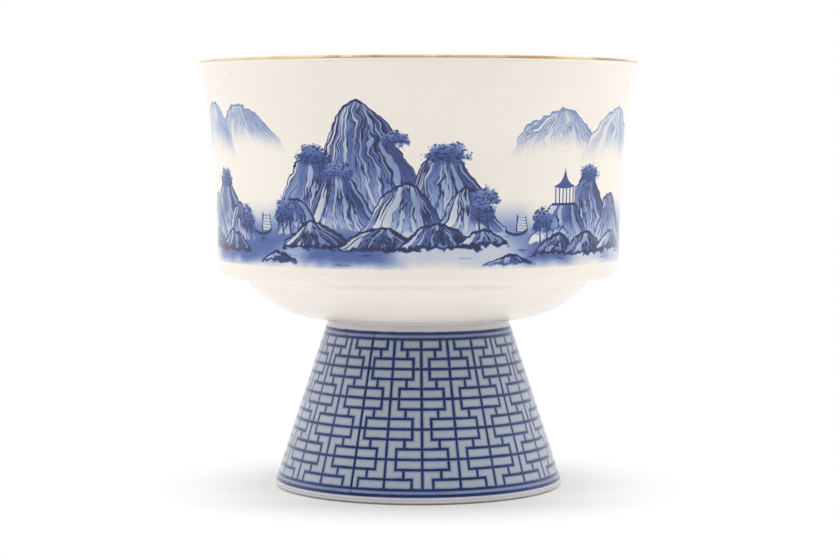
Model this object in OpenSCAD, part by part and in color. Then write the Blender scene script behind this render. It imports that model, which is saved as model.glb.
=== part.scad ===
// Stem cup: a turned bowl with a flared lip and an angular waist, luted to a hollow conical stem.
// The foot stands on the plane z = 0, and +Z runs up the axis of the cup. Sizes are in millimetres.

/* [Cup] */
// Overall height, from the foot to the gilded lip
cup_h = 87; // [82:0.5:100]
// Outer diameter of the lip
rim_d = 90; // [86:0.5:104]

/* [Bowl] */
// Outer diameter of the wall where it would meet the bevel of the waist
wall_d = 82; // [72:0.5:84]
// Thickness of the wall, up to the lip
wall_t = 2.2; // [1.4:0.1:3]
// Outward lean of the straight wall, in degrees
wall_lean = 1.4; // [0:0.1:3]
// Length of the upper wall that curves outwards to the lip
flare_h = 26; // [14:0.5:30]
// Height of the waist's corner above the underside of the bowl
waist_h = 8.9; // [8:0.1:12]
// Rounding of the waist's corner
waist_r = 2.6; // [2:0.1:5]
// Rise of the bevel under the waist, in degrees
bevel_rise = 10; // [6:0.5:30]
// Width of the bevel, from the waist's corner to the crease under it
bevel_w = 5.7; // [5:0.1:8]
// Rounding in the crease, between the bevel and the underside
crease_r = 1.6; // [0.8:0.1:2.4]
// Diameter of the flat in the middle of the underside
dish_flat_d = 39.6; // [38:0.1:44]

/* [Well] */
// Thickness of the floor on the axis
floor_t = 3.4; // [2.6:0.1:4.5]
// Way up the wall, from the waist's corner, to where the dished floor would meet it
well_lift = 2.8; // [2:0.1:6]
// Rounding between the floor and the wall
well_fillet = 6; // [4:0.5:9]

/* [Stem] */
// Height of the stem, from the foot to its seat
stem_h = 34; // [28:0.5:37]
// Outer diameter of the stem at its seat
stem_top_d = 37.2; // [34:0.1:38]
// Outer diameter of the foot, where the cone would meet the floor
foot_d = 59.6; // [54:0.2:66]
// Thickness of the stem's wall
stem_t = 3; // [2:0.1:4]
// Rounding of the foot's outer edge
foot_r = 0.9; // [0.4:0.1:1.2]
// Rounding of the foot's inner edge
foot_inner_r = 0.6; // [0.3:0.1:0.8]

/* [Joint] */
// Thickness of the slip between the bowl and the stem
slip_t = 0.6; // [0.3:0.1:1]
// Depth of the hollow that the slip draws in to
slip_hollow = 0.2; // [0.1:0.05:0.3]

/* [Gilding] */
// Thickness of the gilding
gilt_t = 0.12; // [0.08:0.01:0.2]
// Turn of the gilding over the lip, each way from its crown, in degrees
gilt_wrap = 52.5; // [45:7.5:82.5]

/* [Transfers] */
// Thickness of the two colour transfers
film_t = 0.12; // [0.08:0.01:0.2]
// Gap between the waist's rounding and the landscape band
band_gap = 0.4; // [0.2:0.1:2]
// Height of the top of the landscape band below the lip
band_drop = 6; // [4:0.5:14]
// Boxes round the stem in each row of the lattice
boxes = 12; // [8:1:14]
// Spaces between the rows of boxes
row_gaps = 5; // [3:2:7]
// Turn of the lattice about the axis, in degrees
lattice_turn = 1.6; // [-15:0.1:15]
// Height of the lattice's lower inner line above the foot
lattice_low = 2.9; // [2.4:0.1:6]
// Height of the lattice's upper inner line below the seat
lattice_drop = 2.45; // [1.6:0.05:5]
// Half the height of a box
box_half_h = 1.95; // [1.4:0.05:2.1]
// Half the width of a box, as a share of the step between upright lines
box_half_w = 0.72; // [0.62:0.01:0.8]
// Width of the lattice's lines
line_w = 0.52; // [0.3:0.02:0.6]
// Width of the border strips above and below the lattice, between their lines
border_w = 1.14; // [0.8:0.02:1.3]

/* [Hidden] */
$fn = 96;

ivory = [0.93, 0.91, 0.87];
slip_white = [0.85, 0.83, 0.79];
gold = [0.79, 0.56, 0.2];
pale_cobalt = [0.62, 0.68, 0.82];
cobalt = [0.14, 0.2, 0.42];

// Straight pieces that stand for each round stretch of an outline
dish_steps = 24;
waist_steps = 16;
flare_steps = 24;
lip_steps = 24;
well_steps = 24;
edge_steps = 12;

// Heights of the bowl's underside, its waist and the bare lip
bowl_z = stem_h + slip_t;
waist_z = bowl_z + waist_h;
lip_z = cup_h - gilt_t;
lip_r = wall_t / 2;

// Straight wall: its corner over the waist, its direction up and its direction out
corner = [wall_d / 2, waist_z];
wall_up = [sin(wall_lean), cos(wall_lean)];
wall_out = [cos(wall_lean), -sin(wall_lean)];
wall_angle = -wall_lean;

// Rounding of the waist between the wall and the bevel
bevel_in = [-cos(bevel_rise), -sin(bevel_rise)];
bevel_out = [sin(bevel_rise), -cos(bevel_rise)];
bevel_angle = bevel_rise - 90;
waist_run = waist_r / tan((90 + bevel_rise + wall_lean) / 2);
waist_c = wall_point(waist_run) - waist_r * wall_out;

// Rounded underside: an arc that leaves the flat without a bend and runs up to the foot of the bevel
dish_run = corner + bevel_w * bevel_in - [dish_flat_d / 2, bowl_z];
dish_r = level_arc_r(dish_run);
dish_c = [dish_flat_d / 2, bowl_z + dish_r];

// Rounding in the crease: a circle outside the bowl that touches the bevel and the underside
crease_off = corner + crease_r * bevel_out - dish_c;
crease_along = crease_off * bevel_in;
crease_room = pow(dish_r + crease_r, 2) - crease_off * crease_off;
crease_run = -crease_along - sqrt(crease_along * crease_along + crease_room);
crease_from_dish = crease_off + crease_run * bevel_in;
crease_c = dish_c + crease_from_dish;
crease_angle = atan2(crease_from_dish[1], crease_from_dish[0]);

// Flare: one arc through the middle of the lip that leaves the straight wall without a bend
lip_c = [rim_d / 2 - lip_r, lip_z - lip_r];
lip_off = lip_c - (corner - lip_r * wall_out);
flare_out = lip_off * wall_out;
flare_start = lip_off * wall_up - flare_h;
flare_mid_r = (flare_out * flare_out + flare_h * flare_h) / (2 * flare_out);
flare_outer_r = flare_mid_r - lip_r;
flare_inner_r = flare_mid_r + lip_r;
flare_c = wall_point(flare_start) + flare_outer_r * wall_out;
flare_low_angle = 180 - wall_lean;
flare_sweep = asin(flare_h / flare_mid_r);
flare_high_angle = flare_low_angle - flare_sweep;
crown_angle = flare_high_angle - 90;

// Well: its floor, which starts level on the axis, and the fillet that touches both the floor and the wall
well_run = wall_point(well_lift) - wall_t * wall_out - [0, bowl_z + floor_t];
well_r = level_arc_r(well_run);
well_c = [0, bowl_z + floor_t + well_r];
fillet_off = corner - (wall_t + well_fillet) * wall_out - well_c;
fillet_along = fillet_off * wall_up;
fillet_room = pow(well_r - well_fillet, 2) - fillet_off * fillet_off;
fillet_up = -fillet_along - sqrt(fillet_along * fillet_along + fillet_room);
fillet_c = well_c + fillet_off + fillet_up * wall_up;
fillet_angle = atan2(fillet_c[1] - well_c[1], fillet_c[0]);

// Stem: its slope, its wall measured level, and the roundings of its foot
stem_slope = (foot_d - stem_top_d) / 2 / stem_h;
stem_lean = atan(stem_slope);
stem_out = polar(1, stem_lean);
stem_level_t = stem_t / cos(stem_lean);
stem_top_r = stem_top_d / 2;
foot_run = foot_r / tan((90 - stem_lean) / 2);
foot_c = [foot_d / 2 - foot_run, foot_r];
foot_inner_run = foot_inner_r / tan((90 + stem_lean) / 2);
foot_inner_c = [foot_d / 2 - stem_level_t + foot_inner_run, foot_inner_r];

// Landscape band: the pieces of the flare that it covers, so that both share their corners
band_high = cup_h - band_drop;
band_sweep = flare_low_angle - 180 + asin((band_high - flare_c[1]) / flare_outer_r);
band_steps = round(flare_steps * band_sweep / flare_sweep);
band_angle = flare_low_angle - flare_sweep * band_steps / flare_steps;

// Lattice: its inner lines, the step between its rows and between its upright lines
lattice_high = stem_h - lattice_drop;
row_step = (lattice_high - lattice_low) / row_gaps;
upright_step = 180 / boxes;
line_half = line_w / 2 * cos(stem_lean);
stub_at = upright_step / 2;
box_side = upright_step * box_half_w;
cut_over = 0.5;

function polar(r, angle) = r * [cos(angle), sin(angle)];
function arc(centre, r, from, to, steps) =
    [for (i = [0 : steps]) centre + polar(r, from + (to - from) * i / steps)];
function level_arc_r(run) = run * run / (2 * run[1]);
function wall_point(up) = corner + up * wall_up;
function cone_r(z) = foot_d / 2 - stem_slope * z;
function row_z(row) = lattice_high - row * row_step;
function line_angle(z) = line_w / 2 / cone_r(z) * 180 / PI;

// Bowl: the rounded underside, the bevelled waist, the flared wall, the lip and the well
module bowl() {
    color(ivory) rotate_extrude() polygon(concat(
        [[0, bowl_z]],
        arc(dish_c, dish_r, -90, crease_angle, dish_steps),
        arc(crease_c, crease_r, crease_angle + 180, bevel_angle + 180, edge_steps),
        arc(waist_c, waist_r, bevel_angle, wall_angle, waist_steps),
        arc(flare_c, flare_outer_r, flare_low_angle, flare_high_angle, flare_steps),
        arc(lip_c, lip_r, crown_angle - 90, crown_angle + 90, lip_steps),
        arc(flare_c, flare_inner_r, flare_high_angle, flare_low_angle, flare_steps),
        arc(fillet_c, well_fillet, wall_angle, fillet_angle, waist_steps),
        arc(well_c, well_r, fillet_angle, -90, well_steps)
    ));
}

// Stem: a hollow cone with rounded edges round its flat foot
module stem() {
    color(ivory) rotate_extrude() polygon(concat(
        arc(foot_c, foot_r, -90, stem_lean, edge_steps),
        [[stem_top_r, stem_h], [stem_top_r - stem_level_t, stem_h]],
        arc(foot_inner_c, foot_inner_r, 180 + stem_lean, 270, edge_steps)
    ));
}

// Slip that joins the bowl to the stem, drawn in to a shallow hollow all round
module luting_ring() {
    hollow_r = (slip_t * slip_t / 4 + slip_hollow * slip_hollow) / (2 * slip_hollow);
    hollow_c = [stem_top_r - slip_hollow + hollow_r, stem_h + slip_t / 2];
    hollow_turn = asin(slip_t / 2 / hollow_r);
    color(slip_white) rotate_extrude() polygon(concat(
        [[stem_top_r - stem_level_t, bowl_z], [stem_top_r - stem_level_t, stem_h]],
        arc(hollow_c, hollow_r, 180 + hollow_turn, 180 - hollow_turn, edge_steps)
    ));
}

// Gilding over the crown of the lip
module gilt_rim() {
    steps = round(lip_steps * gilt_wrap / 90);
    color(gold) rotate_extrude() polygon(concat(
        arc(lip_c, lip_r + gilt_t, crown_angle - gilt_wrap, crown_angle + gilt_wrap, steps),
        arc(lip_c, lip_r, crown_angle + gilt_wrap, crown_angle - gilt_wrap, steps)
    ));
}

// Band of landscape colour on the bowl's wall, from the waist up into the flare
module landscape_band() {
    foot = wall_point(waist_run + band_gap);
    color(pale_cobalt) rotate_extrude() polygon(concat(
        [foot, foot + film_t * wall_out],
        arc(flare_c, flare_outer_r - film_t, flare_low_angle, band_angle, band_steps),
        arc(flare_c, flare_outer_r, band_angle, flare_low_angle, band_steps)
    ));
}

// Opening in the lattice, cut square through the transfer; each corner is an angle and a height
module pane(corners) {
    angles = [for (p = corners) p[0]];
    mid = (min(angles) + max(angles)) / 2;
    rotate([0, 0, mid]) translate([cone_r(stem_h), 0, 0])
        rotate([90, 0, 90]) linear_extrude(foot_d / 2 - cone_r(stem_h) + film_t + cut_over)
            polygon([for (p = corners) [cone_r(p[1]) * sin(p[0] - mid), p[1]]]);
}

// Quarter of a box, on one side of its row and on one hand of its upright line
module box_pane(row, side, hand) {
    mid = row_z(row);
    near = mid + side * line_half;
    far = mid + side * (box_half_h - line_half);
    half_line = line_angle(mid);
    left = hand * half_line;
    right = hand * (box_side - half_line);
    pane([[left, near], [right, near], [right, far], [left, far]]);
}

// Two bent panes between a row and the next, from a box's upright line to the one beside it
module bent_panes(row, hand) {
    above = row_z(row);
    below = row_z(row + 1);
    high = above - line_half;
    gap_high = above - box_half_h - line_half;
    gap_low = below + box_half_h + line_half;
    low = below + line_half;
    half_line = line_angle((above + below) / 2);
    near = hand * half_line;
    next_box = hand * (upright_step - box_side - half_line);
    stub_near = hand * (stub_at - half_line);
    stub_far = hand * (stub_at + half_line);
    this_box = hand * (box_side + half_line);
    far = hand * (upright_step - half_line);
    pane([
        [stub_far, gap_low], [far, gap_low], [far, high],
        [this_box, high], [this_box, gap_high], [stub_far, gap_high]
    ]);
    pane([
        [near, low], [next_box, low], [next_box, gap_low],
        [stub_near, gap_low], [stub_near, gap_high], [near, gap_high]
    ]);
}

// Openings of one row, and of the gap below it, on one hand of a box's upright line
module row_panes(row, hand) {
    if (row > 0) box_pane(row, 1, hand);
    if (row < row_gaps) {
        box_pane(row, -1, hand);
        bent_panes(row, hand);
    }
}

// Lattice round the stem: rows of crossed boxes, each half a step round from the last, between two borders
module lattice_band() {
    low = lattice_low - border_w - line_half;
    high = lattice_high + border_w + line_half;
    foot = [cone_r(low), low];
    head = [cone_r(high), high];
    color(cobalt) rotate([0, 0, lattice_turn]) difference() {
        rotate_extrude() polygon([foot, foot + film_t * stem_out, head + film_t * stem_out, head]);
        for (row = [0 : row_gaps], box = [0 : boxes - 1], hand = [-1, 1])
            rotate([0, 0, (2 * box + row % 2) * upright_step]) row_panes(row, hand);
    }
}

bowl();
stem();
luting_ring();
gilt_rim();
landscape_band();
lattice_band();
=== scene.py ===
"""A porcelain stem cup: its pieces, finishes, studio light and camera.

The pieces are turned about the cup's axis, which is the Z axis of the frame. Outlines are written in
millimetres, as (distance from the axis, height above the foot), and meshes are made in metres. A Span holds
two levels, and something changes smoothly from the first to the second.
"""

import logging
import math
from collections.abc import Sequence
from dataclasses import dataclass, field
from enum import Enum

import bpy
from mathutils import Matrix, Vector


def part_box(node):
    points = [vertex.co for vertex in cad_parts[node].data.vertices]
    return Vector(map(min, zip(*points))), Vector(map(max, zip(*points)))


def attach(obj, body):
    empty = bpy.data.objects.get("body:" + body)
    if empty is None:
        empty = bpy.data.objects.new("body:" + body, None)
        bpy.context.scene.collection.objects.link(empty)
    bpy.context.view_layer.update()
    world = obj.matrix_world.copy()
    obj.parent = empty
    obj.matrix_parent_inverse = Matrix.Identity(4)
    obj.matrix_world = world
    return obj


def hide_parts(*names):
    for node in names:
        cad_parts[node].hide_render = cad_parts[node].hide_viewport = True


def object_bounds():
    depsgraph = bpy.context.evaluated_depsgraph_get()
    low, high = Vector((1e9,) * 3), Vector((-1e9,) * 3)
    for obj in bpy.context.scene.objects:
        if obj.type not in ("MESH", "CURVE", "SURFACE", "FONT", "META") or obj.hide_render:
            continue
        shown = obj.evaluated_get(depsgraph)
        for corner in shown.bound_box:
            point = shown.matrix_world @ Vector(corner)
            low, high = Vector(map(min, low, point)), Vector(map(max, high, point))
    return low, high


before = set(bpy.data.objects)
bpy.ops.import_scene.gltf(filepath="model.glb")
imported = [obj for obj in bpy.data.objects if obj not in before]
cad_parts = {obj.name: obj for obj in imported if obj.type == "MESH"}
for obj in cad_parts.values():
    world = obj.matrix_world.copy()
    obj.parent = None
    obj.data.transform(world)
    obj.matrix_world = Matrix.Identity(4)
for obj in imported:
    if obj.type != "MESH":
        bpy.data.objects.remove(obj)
CAD_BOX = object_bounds()

LOG = logging.getLogger("stem_cup")
MM = 0.001
BODY = "root"
TURN_STEPS = 240
FULL_TURN = 360.0
SHARP_ANGLE = math.radians(50)
NOISE_MEAN = 0.5

Point = tuple[float, float]
Place = tuple[float, float, float]
Span = tuple[float, float]
Colour = tuple[float, float, float, float]
Socket = bpy.types.NodeSocket
Feed = float | Colour | Socket


class SocketKind(Enum):
    """Kinds of socket on a node group."""

    VALUE = "NodeSocketFloat"
    COLOUR = "NodeSocketColor"


class Side(Enum):
    """Side of the studio that a lamp stands on."""

    LEFT = -1
    RIGHT = 1


def srgb(red: int, green: int, blue: int) -> Colour:
    """Turns a display colour into a linear one.

    Args:
        red: red from 0 to 255.
        green: green from 0 to 255.
        blue: blue from 0 to 255.

    Returns:
        The linear colour, with full alpha.
    """
    def linear(level: int) -> float:
        """Gives the linear value of one display level."""
        share = level / 255
        return share / 12.92 if share <= 0.04045 else ((share + 0.055) / 1.055) ** 2.4

    return (linear(red), linear(green), linear(blue), 1.0)


BLACK = srgb(0, 0, 0)
WHITE = srgb(255, 255, 255)


def polar(radius: float, degrees: float) -> Point:
    """Gives the point at a distance and an angle from the origin."""
    return (radius * math.cos(math.radians(degrees)), radius * math.sin(math.radians(degrees)))


def shift(point: Point, direction: Point, distance: float) -> Point:
    """Gives the point at a distance from another, along a direction."""
    return (point[0] + distance * direction[0], point[1] + distance * direction[1])


def arc(centre: Point, radius: float, start: float, end: float, steps: int) -> list[Point]:
    """Gives points along an arc.

    Args:
        centre: centre of the arc.
        radius: radius of the arc.
        start: angle of the first point, in degrees.
        end: angle of the last point, in degrees.
        steps: spaces between the points.

    Returns:
        The points, with both ends.
    """
    angles = [start + (end - start) * i / steps for i in range(steps + 1)]
    return [shift(centre, polar(1.0, angle), radius) for angle in angles]


def straight(start: Point, end: Point, steps: int) -> list[Point]:
    """Gives points inside a straight stretch, without its ends.

    Args:
        start: first end of the stretch.
        end: other end of the stretch.
        steps: spaces that the stretch is divided into.

    Returns:
        The points between the ends.
    """
    shares = [i / steps for i in range(1, steps)]
    return [(start[0] + (end[0] - start[0]) * s, start[1] + (end[1] - start[1]) * s) for s in shares]


def level_arc_radius(start: Point, end: Point) -> float:
    """Gives the radius of the arc that leaves one point level and rises to another."""
    out, up = end[0] - start[0], end[1] - start[1]
    return (out**2 + up**2) / (2 * up)


def bearing(centre: Point, point: Point) -> float:
    """Gives the angle of a point about a centre, in degrees."""
    return math.degrees(math.atan2(point[1] - centre[1], point[0] - centre[0]))


def meet_circle(start: Point, direction: Point, centre: Point, radius: float) -> Point:
    """Gives the point where a line first comes to a circle.

    Args:
        start: a point of the line.
        direction: unit direction of the line.
        centre: centre of the circle.
        radius: radius of the circle.

    Returns:
        The first, along the direction, of the two points that the line and the circle share.
    """
    off = (start[0] - centre[0], start[1] - centre[1])
    along = off[0] * direction[0] + off[1] * direction[1]
    run = -along - math.sqrt(along**2 - off[0] ** 2 - off[1] ** 2 + radius**2)
    return shift(start, direction, run)


def put_in_scene(name: str, data: bpy.types.ID) -> bpy.types.Object:
    """Makes an object of a mesh, a lamp or a camera and puts it in the scene.

    Args:
        name: name of the object.
        data: what it shows.

    Returns:
        The object.
    """
    thing = bpy.data.objects.new(name, data)
    bpy.context.scene.collection.objects.link(thing)
    return thing


def lathe(name: str, outline: Sequence[Point], closed: bool) -> bpy.types.Object:
    """Turns an outline about the cup's axis into a smooth mesh.

    Args:
        name: name of the piece.
        outline: points in millimetres. An open outline starts and ends on the axis.
        closed: whether the last point joins the first.

    Returns:
        The piece, in the scene.
    """
    points: list[Place] = []
    rings: list[list[int]] = []
    for radius, height in outline:
        count = TURN_STEPS if radius > 0 else 1
        start = len(points)
        for i in range(count):
            turn = math.tau * i / TURN_STEPS
            points.append((radius * MM * math.sin(turn), -radius * MM * math.cos(turn), height * MM))
        rings.append([start + i % count for i in range(TURN_STEPS + 1)])
    faces: list[list[int]] = []
    next_rings = rings[1:] + rings[:1] if closed else rings[1:]
    for low, high in zip(rings, next_rings):
        for i in range(TURN_STEPS):
            corners = [low[i], low[i + 1], high[i + 1], high[i]]
            faces.append(list(dict.fromkeys(corners)))
    mesh = bpy.data.meshes.new(name)
    mesh.from_pydata(points, [], faces)
    mesh.validate()
    mesh.shade_smooth()
    return put_in_scene(name, mesh)


def seat(piece: bpy.types.Object, node: str) -> bpy.types.Object:
    """Puts a piece on the cup in place of a solid.

    Args:
        piece: the piece.
        node: the solid that it stands for.

    Returns:
        The piece.
    """
    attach(piece, BODY)
    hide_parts(node)
    return piece


class Bench:
    """A node tree with short calls that place nodes and wire them."""

    def __init__(self, tree: bpy.types.NodeTree) -> None:
        """Takes the tree to work on."""
        self.tree = tree

    def put(self, kind: str, **settings: object) -> bpy.types.Node:
        """Places a node and sets its options.

        Args:
            kind: type of the node.
            settings: options of the node, by name.

        Returns:
            The node.
        """
        node = self.tree.nodes.new(kind)
        for name, value in settings.items():
            setattr(node, name, value)
        return node

    def feed(self, socket: Socket, value: Feed) -> None:
        """Wires a socket to another, or sets it to a constant.

        Args:
            socket: the socket that takes the value.
            value: the other socket, or the constant.
        """
        if isinstance(value, bpy.types.NodeSocket):
            self.tree.links.new(value, socket)
        else:
            socket.default_value = value

    def feed_all(self, sockets: Sequence[Socket], values: Sequence[Feed]) -> None:
        """Wires or sets several sockets, in order."""
        for socket, value in zip(sockets, values):
            self.feed(socket, value)

    def math(self, operation: str, *values: Feed, clamp: bool = False) -> Socket:
        """Places a Math node.

        Args:
            operation: what it does.
            values: its inputs, in order.
            clamp: whether its result is kept from 0 to 1.

        Returns:
            Its result.
        """
        node = self.put("ShaderNodeMath", operation=operation, use_clamp=clamp)
        self.feed_all(node.inputs, values)
        return node.outputs[0]

    def chain(self, operation: str, values: Sequence[Feed]) -> Socket:
        """Joins two or more values by one operation.

        Args:
            operation: what joins each value to the result so far.
            values: the values, in order.

        Returns:
            The result.
        """
        result = values[0]
        for value in values[1:]:
            result = self.math(operation, result, value)
        return result

    def add(self, *values: Feed) -> Socket:
        """Adds two or more values."""
        return self.chain("ADD", values)

    def times(self, *values: Feed) -> Socket:
        """Multiplies two or more values."""
        return self.chain("MULTIPLY", values)

    def least(self, *values: Feed) -> Socket:
        """Gives the least of two or more values."""
        return self.chain("MINIMUM", values)

    def most(self, *values: Feed) -> Socket:
        """Gives the greatest of two or more values."""
        return self.chain("MAXIMUM", values)

    def minus(self, value: Feed, less: Feed) -> Socket:
        """Takes the second value from the first."""
        return self.math("SUBTRACT", value, less)

    def over(self, value: Feed, divisor: Feed) -> Socket:
        """Divides the first value by the second."""
        return self.math("DIVIDE", value, divisor)

    def size(self, value: Feed) -> Socket:
        """Gives a value without its sign."""
        return self.math("ABSOLUTE", value)

    def apart(self, value: Feed, other: Feed) -> Socket:
        """Gives how far apart two values are."""
        return self.size(self.minus(value, other))

    def ease(self, value: Feed, low: Feed, high: Feed, start: Feed = 0.0, end: Feed = 1.0) -> Socket:
        """Goes smoothly from one value to another as an input passes between two levels.

        Args:
            value: the input.
            low: level of the input where the change starts.
            high: level of the input where the change ends.
            start: result at the low level.
            end: result at the high level.

        Returns:
            The eased value.
        """
        node = self.put("ShaderNodeMapRange", interpolation_type="SMOOTHSTEP")
        self.feed_all(node.inputs, (value, low, high, start, end))
        return node.outputs[0]

    def fade(self, value: Feed, low: Feed, high: Feed, start: Feed = 1.0) -> Socket:
        """Goes smoothly down to nothing as an input passes between two levels."""
        return self.ease(value, low, high, start, 0.0)

    def mix(self, share: Feed, under: Feed, over: Feed) -> Socket:
        """Mixes two values.

        Args:
            share: share of the second value.
            under: the first value.
            over: the second value.

        Returns:
            The mixed value.
        """
        node = self.put("ShaderNodeMix", data_type="FLOAT")
        self.feed_all((node.inputs[0], node.inputs[2], node.inputs[3]), (share, under, over))
        return node.outputs[0]

    def tint(self, share: Feed, under: Feed, over: Feed, mode: str = "MIX") -> Socket:
        """Mixes two colours.

        Args:
            share: share of the second colour.
            under: the first colour.
            over: the second colour.
            mode: how they are blended.

        Returns:
            The mixed colour.
        """
        node = self.put("ShaderNodeMix", data_type="RGBA", blend_type=mode)
        self.feed_all((node.inputs[0], node.inputs[6], node.inputs[7]), (share, under, over))
        return node.outputs[2]

    def spot(self) -> Socket:
        """Gives the shaded point in the piece's own frame, in metres."""
        return self.put("ShaderNodeTexCoord").outputs["Object"]

    def vector(self, x: Feed, y: Feed, z: Feed = 0.0) -> Socket:
        """Joins three values into a vector.

        Args:
            x: first part.
            y: second part.
            z: third part.

        Returns:
            The vector.
        """
        node = self.put("ShaderNodeCombineXYZ")
        self.feed_all(node.inputs, (x, y, z))
        return node.outputs[0]

    def split(self, vector: Socket) -> Sequence[Socket]:
        """Splits a vector.

        Args:
            vector: the vector.

        Returns:
            Its three parts.
        """
        node = self.put("ShaderNodeSeparateXYZ")
        self.feed(node.inputs[0], vector)
        return node.outputs

    def noise(self, place: Socket, scale: float, detail: float = 2.0, rough: float = 0.5) -> Socket:
        """Places a Noise Texture.

        Args:
            place: where it is read.
            scale: waves in one unit of length.
            detail: octaves above the first.
            rough: strength of each octave beside the one before.

        Returns:
            Its level, about NOISE_MEAN on average.
        """
        node = self.put("ShaderNodeTexNoise")
        for name, value in {"Vector": place, "Scale": scale, "Detail": detail, "Roughness": rough}.items():
            self.feed(node.inputs[name], value)
        return node.outputs["Fac"]

    def waver(self, place: Socket, scale: float, detail: float = 2.0) -> Socket:
        """Gives noise that is about zero on average."""
        return self.minus(self.noise(place, scale, detail), NOISE_MEAN)

    def cells(self, place: Socket, scale: float) -> bpy.types.Node:
        """Places a Voronoi Texture.

        Args:
            place: where it is read.
            scale: cells in one unit of length.

        Returns:
            The node, for its Distance and Color.
        """
        node = self.put("ShaderNodeTexVoronoi")
        self.feed(node.inputs["Vector"], place)
        self.feed(node.inputs["Scale"], scale)
        return node

    def use(self, group: bpy.types.NodeTree, **feeds: Feed) -> bpy.types.Node:
        """Places a node group.

        Args:
            group: the group.
            feeds: its inputs, by name.

        Returns:
            The group's node.
        """
        node = self.put("ShaderNodeGroup", node_tree=group)
        for name, value in feeds.items():
            self.feed(node.inputs[name], value)
        return node


def start_material(name: str) -> tuple[bpy.types.Material, Bench, bpy.types.Node]:
    """Starts a material.

    Args:
        name: name of the material.

    Returns:
        The material, its bench and its shader.
    """
    material = bpy.data.materials.new(name)
    material.use_nodes = True
    return material, Bench(material.node_tree), material.node_tree.nodes["Principled BSDF"]


class GroupMaker:
    """A node group under construction, with named inputs and outputs."""

    def __init__(self, name: str, inputs: dict[str, SocketKind], outputs: dict[str, SocketKind]) -> None:
        """Makes the group and its sockets.

        Args:
            name: name of the group.
            inputs: its inputs and their kinds.
            outputs: its outputs and their kinds.
        """
        self.tree = bpy.data.node_groups.new(name, "ShaderNodeTree")
        for way, sockets in (("INPUT", inputs), ("OUTPUT", outputs)):
            for label, kind in sockets.items():
                self.tree.interface.new_socket(name=label, in_out=way, socket_type=kind.value)
        self.bench = Bench(self.tree)
        self.inputs = self.bench.put("NodeGroupInput").outputs
        self.results = self.bench.put("NodeGroupOutput").inputs

    def give(self, **values: Feed) -> bpy.types.NodeTree:
        """Wires the outputs.

        Args:
            values: the outputs, by name.

        Returns:
            The group.
        """
        for name, value in values.items():
            self.bench.feed(self.results[name], value)
        return self.tree


def values_named(*names: str) -> dict[str, SocketKind]:
    """Gives plain value sockets of these names."""
    return {name: SocketKind.VALUE for name in names}


@dataclass(frozen=True)
class GlazeFinish:
    """Clear gloss glaze over a pale body, with faint clouds, a ripple and a few pinholes.

    Scales are waves or cells in a metre. Heights are in millimetres.
    """

    bowl: Colour = srgb(243, 235, 225)
    # Painted shade: the stem is the same porcelain as the bowl, but its colour is greyer and darker, standing
    # in for the shade under the bowl.
    stem: Colour = srgb(210, 208, 210)
    pooled: Colour = srgb(214, 202, 186)
    # The bare foot is unglazed body, and it is also painted darker grey: partly painted shade where the foot
    # meets the floor.
    bare: Colour = srgb(158, 148, 136)
    speck: Colour = srgb(150, 132, 112)
    gloss: float = 0.05
    bare_rough: float = 0.75
    ior: float = 1.52
    cloud_scale: float = 55.0
    cloud_detail: float = 3.0
    cloud_span: Span = (0.3, 0.7)
    cloud_shade: Span = (0.965, 1.0)
    cloud_rough: float = 0.05
    ripple: float = 0.03
    ripple_scale: float = 260.0
    ripple_detail: float = 1.0
    pinhole_scale: float = 330.0
    pinhole_from: float = 0.93
    pinhole_edge: Span = (0.03, 0.075)
    pinhole_depth: float = 0.6
    pinhole_tint: float = 0.55
    pooled_half: float = 0.8
    pooled_tint: float = 0.25
    bare_full: float = 0.5


@dataclass(frozen=True)
class GiltFinish:
    """Fired gold on the lip, rubbed thin in places. Scales are waves in a metre."""

    # Bright and dull gold alternate at random along the lip. They stand in part for highlights and dark
    # reflections: painted highlight and painted reflection.
    bright: Colour = srgb(250, 222, 170)
    dull: Colour = srgb(202, 158, 108)
    bare: Colour = srgb(214, 196, 172)
    cloud_scale: float = 90.0
    cloud_detail: float = 4.0
    cloud_span: Span = (0.38, 0.62)
    rub_scale: float = 420.0
    rub_detail: float = 3.0
    noise_rough: float = 0.6
    worn_span: Span = (0.66, 0.74)
    rub_span: Span = (0.3, 0.7)
    rub_rough: Span = (0.12, 0.26)


@dataclass(frozen=True)
class CobaltFinish:
    """Cobalt blue under the glaze, by tone from bare at 0 to full at 1."""

    stops: tuple[tuple[float, Colour], ...] = (
        (0.0, WHITE), (0.14, srgb(214, 224, 243)), (0.36, srgb(146, 172, 224)),
        (0.6, srgb(74, 102, 178)), (0.8, srgb(38, 56, 126)), (1.0, srgb(20, 30, 80)),
    )


@dataclass(frozen=True)
class LatticeFinish:
    """Printed lattice of lines over a wash that is darkened as painted shade. Scales are waves in a metre."""

    line_tone: float = 0.92
    line_veil: float = 0.03
    seam_tone: float = 0.95
    seam_in_border: float = 0.3
    # Painted shade: the panes' blue-grey wash is printed, but darkened to stand in for the shade under the
    # bowl.
    pane_wash_and_shade: Colour = srgb(174, 180, 189)
    pane_tone: float = 0.02
    halo_tone: float = 0.2
    halo_reach: float = 3.0
    border_tone: float = 0.14
    shake_scale: float = 600.0
    wash_scale: float = 130.0
    ink_scale: float = 300.0
    noise_span: Span = (0.3, 0.7)
    wash_levels: Span = (0.8, 1.15)
    ink_levels: Span = (0.9, 1.0)


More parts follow.
